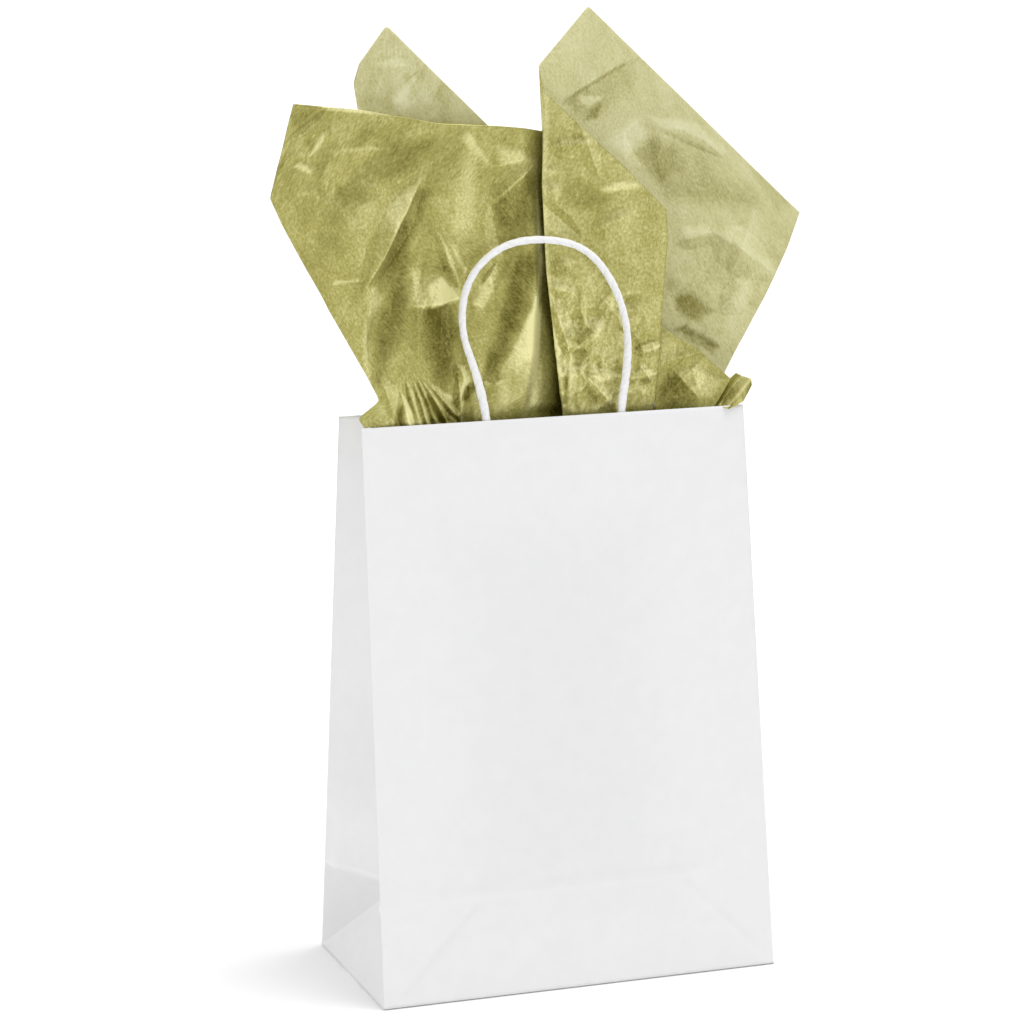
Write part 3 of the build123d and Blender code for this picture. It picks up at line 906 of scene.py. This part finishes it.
right = {"keys": [
    # the turned-in edge behind the front half's right side
    [(40, -3, -112), (42, -4, -36), (46, -5, -1), (48, -5, 31), (51, -5.5, 65), (53, -6, 84), (53, -6.5, 93)],
    # right fold of the front half
    [(38, -7, -112), (44, -8, -36), (55, -10, -1), (58, -10.5, 31), (60.5, -10.5, 65), (62, -11, 84),
     (61, -11, 96)],
    [(28, -8, -112), (32, -9, -36), (38, -11, -1), (38, -11.2, 31), (40, -11, 65), (40, -10.5, 96),
     (38, -10.5, 119)],
    [(16, -8, -112), (16, -9, -36), (20, -11, -1), (18, -11.2, 31), (17, -11, 65), (17, -10, 100),
     (17, -9.5, 138)],
    # left fold, front side and back side
    [(5.5, -6, -112), (5.5, -7, -36), (6.5, -10.5, -1), (2.5, -10.8, 31), (-2, -10.5, 70),
     (-3.5, -9.5, 112), (-0.5, -7, 155)],
    [(7.5, 0, -112), (7.5, -2, -36), (10, -3, -1), (7, -3, 31), (3, -3, 70), (0.5, -3, 112), (-2.5, -3, 167)],
    # back half
    [(20, 6, -112), (22, 4.5, -36), (20, 5, -1), (20, 6, 40), (20, 6, 90), (14, 8, 140), (30, 16, 194)],
    [(27, 8, -112), (30, 8, -36), (34, 8, -1), (44, 9, 40), (54, 13, 90), (58, 17, 124), (72, 19.5, 156)],
    [(32, 7, -112), (42, 6, -36), (58, 6, -1), (74, 7, 38), (94, 14, 72), (106, 18, 96), (116, 20, 115)],
    [(38, 2, -112), (56, 1, -36), (88, 0, -1), (103, 3, 24), (122, 10, 50), (136, 16, 72), (144, 19.5, 89)],
], "frontFolds": [
    (6, -2, -3, 60, 4, 4, 0.9),
    (11, 26, 1, 58, 4, 6, 1.3),
    (6, 45, 31, 47, 5, 9, -1.5),
    (30, 47, 47, 55, 5, 8, -1.3),
    (12, 30, 28, 44, 5, 6, 1.4),
    (8, 19, 21, 33, 5, 5, -1.6),
    (7, 2, 11, 27, 4, 5, 1.5),
    (19, 20, 37, 16, 3, 5, 1.3),
    (18, 18, 32, 3, 4, 5, 1.0),
    (40, 15, 58, 17, 3, 4, 1.1),
    (44, 28, 59, 31, 3, 4, 1.3),
    (36, 40, 47, 26, 4, 5, -1.0),
    (0, 70, 14, 74, 4, 5, 1.1),
    (0, 62, 12, 58, 4, 4, 0.9),
    (25, 57, 37, 44, 4, 5, 0.9),
    (-5, 106, 7, 109, 6, 6, 1.2),
    (2, 129, 22, 131, 3, 8, 1.2),
    (-1, 101, 16, 86, 4, 7, -1.1),
    (16, 140, 26, 114, 5, 6, 0.9),
    (46, 22, 53, 12, 3, 4, 0.8),
    (22, 88, 44, 96, 6, 8, 1.0),
], "backFolds": [
    (12, 147, 60, 170, 2, 16, -0.8),
    (50, 120, 69, 132, 12, 10, -1.6),
    (69, 132, 101, 118, 5, 20, -1.8),
    (75, 79, 96, 82, 6, 6, 1.2),
    (96, 82, 127, 60, 10, 12, 1.8),
    (64, 62, 86, 34, 8, 12, -0.8),
    (97, 44, 116, 60, 6, 9, 1.6),
    (75, 35, 95, 24, 4, 5, -0.6),
    (104, 60, 118, 90, 6, 8, 1.0),
], "frontPaintedFacets": [
    (-0.15, 0, 6, [(1, 110), (15, 117), (38, 106), (28, 94), (12, 97)]),
    (0.24, 1, 3, [(27, 105.5), (47, 107), (50, 111), (38, 113), (23, 109)]),
    (0.22, 1, 4, [(-4, 119), (10, 119), (1, 111)]),
    (0.14, 1, 1, [(1, 141), (26, 131), (16, 138)]),
    (-0.1, 1, 2, [(8, 136), (34, 122), (18, 129)]),
    (-0.1, 0, 5, [(42, 40), (58, 36), (57, 29), (44, 27)]),
    (0.28, 1, 1.5, [(43, 25.5), (59, 29.5), (58, 32), (47, 28)]),
    (0.22, 1, 1, [(41, 17), (55, 17), (54, 19), (41, 19)]),
    (0.16, 1, 1, [(41, 15), (49, 5), (51, 8), (43, 16)]),
    (-0.2, 1, 3, [(6, 43), (26, 41), (18, 31), (8, 34)]),
    (0.14, 1, 2, [(22, 42), (28, 46), (27, 38), (21, 34)]),
    (-0.14, 1, 2, [(8, 32), (21, 31), (16, 25), (8, 27)]),
    (0.24, 1, 1.5, [(18, 19), (37, 17), (27, 13)]),
    (-0.14, 1, 3, [(18, 16), (27, 6), (22, 0), (13, 6)]),
    (-0.26, 1, 1.5, [(10.5, 19), (9.5, 3), (6, 4), (7, 19)]),
    (0.14, 1, 2, [(27, 13), (35, 4), (32, 0), (26, 8)]),
    (0.22, 1, 2, [(0, 27), (8, 21), (7, 16), (2, 20)]),
    (-0.12, 1, 2, [(1, 67), (3, 79), (10, 71), (8, 66)]),
    (0.2, 1, 1, [(2, 62), (9, 63.5), (7, 59)]),
    (-0.1, 0, 3, [(-4, 86), (3, 83), (4, 77), (-2, 77)]),
], "backPaintedFacets": [
    (-0.13, 1, 1.2, [(12, 149), (50, 168), (51, 166), (14, 147)]),
    (-0.16, 1, 13, [(8, 147), (56, 171), (64, 150), (24, 130)]),
    (0.3, 1, 2, [(20, 152.5), (40, 150.5), (28, 144)]),
    (-0.24, 2, 3, [(38, 150), (34, 139), (23, 138), (30, 146)]),
    (-0.14, 0, 3, [(12, 149), (23, 153), (26, 140)]),
    (-0.2, 2, 12, [(69, 132), (86, 124.5), (101, 118), (125, 101), (128, 88), (86, 88), (68, 96), (47, 118)]),
    (-0.15, 1, 8, [(50, 120), (69, 132), (77, 127), (82, 111), (67, 102)]),
    (0.16, 0, 5, [(33, 128), (49, 118), (68, 132), (54, 142)]),
    (0.16, 0, 3, [(56, 142), (70, 132), (102, 118), (106, 121), (88, 137)]),
    (0.26, 1, 1.5, [(98, 13), (110, 18), (105, 7)]),
    (0.12, 1, 4, [(75, 79), (97, 82), (86, 86), (75, 88)]),
    (-0.1, 1, 6, [(73, 78), (96, 81), (97, 73), (84, 69)]),
    (0.12, 0, 5, [(96, 82), (106, 84), (128, 65), (128, 55), (114, 58)]),
    (-0.26, 0, 4, [(70, 52), (83, 54.5), (98, 41), (87, 38), (80, 35), (71, 44)]),
    (0.11, 1, 7, [(97, 44), (116, 60), (111, 24), (94, 24)]),
    (-0.22, 1, 3, [(77, 38), (96, 26.5), (91, 20), (72, 32)]),
    (-0.3, 1, 1, [(68, 35), (82, 39), (75, 33)]),
    (-0.1, 0, 3, [(128, 58), (110, 26), (104, 8), (119, 33)]),
    (-0.14, 0, 3, [(110, 27), (107, 8), (96, 18)]),
    (-0.12, 1, 8, [(144, 92), (112, 118), (128, 84)]),
]}


def rightSheet():
    # the right sheet, folded over: a gold front half and a pale back half
    def halves(grid, cols):
        # how far a column belongs to the front half, and to the back half, and its number
        col = np.arange(grid.shape[1])[None, :]
        front = smoothStep(col, cols[1] - 3.0, cols[1] + 5.0)
        front = front * (1 - smoothStep(col, cols[4] - 2.0, cols[4] + 2.0))
        return front, smoothStep(col, cols[5] - 1.0, cols[6] - 4.0), col

    def relief(grid, cols):
        x, h = grid[..., 0], grid[..., 2]
        front, back, _ = halves(grid, cols)
        lift = front * tentFolds(x, h, right["frontFolds"])
        lift += front * patchOf(x, h, 20, 28, 34, 44) * (0.6 * crumple(x, h, (6, 7), 21)
                                                          + 0.3 * crumple(x, h, (3.4, 4), 22))
        lift += front * (0.2 * crumple(x, h, (12, 16), 23) + 0.07 * crumple(x, h, (5, 6), 24))
        lift -= back * tentFolds(x, h, right["backFolds"])
        lift += back * patchOf(x, h, 84, 36, 30, 30) * 0.36 * crumple(x, h, (9, 8), 25)
        lift += back * (0.24 * crumple(x, h, (19, 15), 26) + 0.08 * crumple(x, h, (6, 6), 27))
        return lift

    def tones(grid, cols):
        # painted light and shade: a painted highlight along the left fold's ridge, and painted shade on the
        # edge that is turned in
        x, h = grid[..., 0], grid[..., 2]
        front, back, col = halves(grid, cols)
        paintedRidgeLight = (smoothStep(col, cols[4] - 4.0, cols[4] - 1.0)
                 * (1 - smoothStep(col, cols[4] + 1.0, cols[5])))
        turned = 1 - smoothStep(col, cols[1] - 1.0, cols[1] + 3.0)
        fade = 0.1 * back * (1 - smoothStep(h, 60, 110))
        facets = front * facetField(x, h, right["frontPaintedFacets"]) - back * facetField(x, h, right["backPaintedFacets"])
        return facets, (0.2 * paintedRidgeLight - 0.25 * turned + fade - 0.07 * back
                        + front * (0.08 + 0.07 * patchOf(x, h, 20, 30, 26, 40)))

    addTissue("tissueRight", "tissue_right", "right_sheet", right["keys"],
              (0, -1, 0), (1, 3), 3, relief, tones, finer=0.82)


corner = {"keys": [
    [(64, -15, -42), (58, -13, -20), (55, -10, -1), (55, -9.6, 4), (56, -8, 18), (57, -7.5, 40)],
    [(67, -16, -42), (68, -15.5, -20), (70, -14.5, -1), (71, -14, 2), (75, -13, 12), (76, -12.5, 28)],
    [(70, -16.5, -42), (76, -17, -20), (83, -17.2, -1), (84, -17, 1), (88, -16.5, 6), (92, -16, 13)],
    [(71, -15, -42), (78, -15.5, -20), (84, -16, -1), (85.5, -15.5, 1), (90.5, -14, 8.3), (96.4, -13, 15)],
    # the curl: its hollow, its crease, and the lip that hangs over the rim
    [(72, -14, -42), (80, -14.5, -20), (87, -16.2, -0.6), (88, -14.5, 1), (93.5, -11.5, 6.5),
     (100.4, -11, 13)],
    [(73, -14, -42), (82, -15.5, -20), (88, -17.6, -0.6), (91, -18.4, -0.2), (96.6, -16.8, 5.4),
     (103.3, -16, 12)],
    [(74, -14, -42), (83, -16, -20), (86, -18.2, 0.2), (89, -20.8, -1.8), (97.3, -20.4, 1.9),
     (102.3, -19, 9.5)],
], "folds": [
    (59, 4, 80, 24, 7, 9, 0.8),
    (64, 19, 77, 3, 6, 7, 1.0),
    (60, 22, 76, 26, 4, 6, 0.6),
], "facets": [
    (-0.2, 1, 5, [(64, 19.5), (78, 2), (76, -6), (54, -6), (54, 12)]),
    (0.12, 0, 4, [(57, 40), (73, 29), (64, 20), (55, 15)]),
    (0.18, 1, 4, [(77, 3), (71, 23), (91, 13), (84, 2)]),
]}


def cornerSheet():
    # the small piece at the right corner, with its curl over the rim
    def relief(grid, cols):
        x, h = grid[..., 0], grid[..., 2]
        lift = tentFolds(x, h, corner["folds"]) + 0.24 * crumple(x, h, (8, 8), 31)
        return smoothStep(h, -12, 2) * (lift + 0.08 * crumple(x, h, (4, 4), 32))

    def tones(grid, cols):
        # painted shade low in the curl's hollow, painted light at its open end and a painted highlight along
        # its crease
        x, h = grid[..., 0], grid[..., 2]
        col = np.arange(grid.shape[1])[None, :]
        paintedHollowShade = smoothStep(col, cols[2] - 1.0, cols[3]) * (1 - smoothStep(col, cols[3] + 1.0, cols[4] + 1.0))
        paintedMouthLight = (smoothStep(h, 5, 12) * smoothStep(col, cols[3] + 1.0, cols[4])
                 * (1 - smoothStep(col, cols[5], cols[6])))
        crease = np.exp(-((col - cols[5]) / 2.0) ** 2)
        return (facetField(x, h, corner["facets"]),
                0.3 * paintedMouthLight + 0.3 * crease - 0.4 * paintedHollowShade * (1 - 0.7 * smoothStep(h, 6, 14)))

    addTissue("tissueCorner", "tissue_corner", "corner_sheet", corner["keys"],
              (0, -1, 0), (0, 2), 3, relief, tones, finer=1.9)


leftFront()
leftBack()
rightSheet()
cornerSheet()
print("tissue gathered")

# side is how far along aim the light grows, and band the heights between which it takes over
studio = {"horizonGlow": 1.03, "dimSide": 0.4, "brightSide": 1.09, "aim": (0.08, 0.55, 0.83),
          "side": (-0.35, 0.95), "band": (0.06, 0.3), "floorColour": "#F6F6F6", "floorRadius": 16,
          "floorRoughness": 0.9, "floorSpecular": 0.1,
          "sunStrength": 1.3, "sunFrom": (0.34, -0.14, 0.93), "sunSoftness": 36}


def addFloor():
    # a round floor wide enough to reach the horizon
    angle = np.linspace(0, 2 * math.pi, 97)[:-1]
    radius = np.array([0.001, 0.5, 2, 6, studio["floorRadius"]])
    points = np.stack([radius[:, None] * np.cos(angle), radius[:, None] * np.sin(angle),
                       np.zeros((len(radius), len(angle)))], axis=2)
    floor = gridMesh("studioFloor", points, (0, 0, 1), closed=True)
    material, tree, shader = newMaterial("studioPaper")
    shader.inputs["Base Color"].default_value = linear(studio["floorColour"])
    shader.inputs["Roughness"].default_value = studio["floorRoughness"]
    shader.inputs["Specular IOR Level"].default_value = studio["floorSpecular"]
    floor.data.materials.append(material)


def addSky():
    # a white band at the horizon; above it the light grows from the dim side, low at the
    # front, to the bright side, high at the back
    world = bpy.data.worlds.new("studioSky")
    world.use_nodes = True
    tree = world.node_tree
    place = addNode(tree, "ShaderNodeTexCoord")
    parts = addNode(tree, "ShaderNodeSeparateXYZ", Vector=(place, "Generated"))
    aim = addNode(tree, "ShaderNodeVectorMath", {"operation": "DOT_PRODUCT"}, i0=(place, "Generated"),
                  i1=Vector(studio["aim"]))
    side = addNode(tree, "ShaderNodeMapRange", {"interpolation_type": "SMOOTHSTEP"}, Value=(aim, "Value"))
    side.inputs["From Min"].default_value = studio["side"][0]
    side.inputs["From Max"].default_value = studio["side"][1]
    side.inputs["To Min"].default_value = studio["dimSide"]
    side.inputs["To Max"].default_value = studio["brightSide"]
    band = addNode(tree, "ShaderNodeMapRange", {"interpolation_type": "SMOOTHSTEP"}, Value=(parts, "Z"))
    band.inputs["From Min"].default_value = studio["band"][0]
    band.inputs["From Max"].default_value = studio["band"][1]
    light = addNode(tree, "ShaderNodeMix", Factor=(band, "Result"), A=studio["horizonGlow"],
                    B=(side, "Result"))
    background = tree.nodes["Background"]
    tree.links.new(light.outputs["Result"], background.inputs["Strength"])
    background.inputs["Color"].default_value = (1, 1, 1, 1)
    bpy.context.scene.world = world


def addSun():
    # one broad, soft key from the upper right
    data = bpy.data.lights.new("keyLight", "SUN")
    data.energy = studio["sunStrength"]
    data.angle = math.radians(studio["sunSoftness"])
    light = bpy.data.objects.new("keyLight", data)
    light.rotation_euler = (-Vector(studio["sunFrom"])).to_track_quat("-Z", "Y").to_euler()
    bpy.context.collection.objects.link(light)


addFloor()
addSky()
addSun()
bpy.context.scene.view_settings.view_transform = "Standard"
print("studio lit")
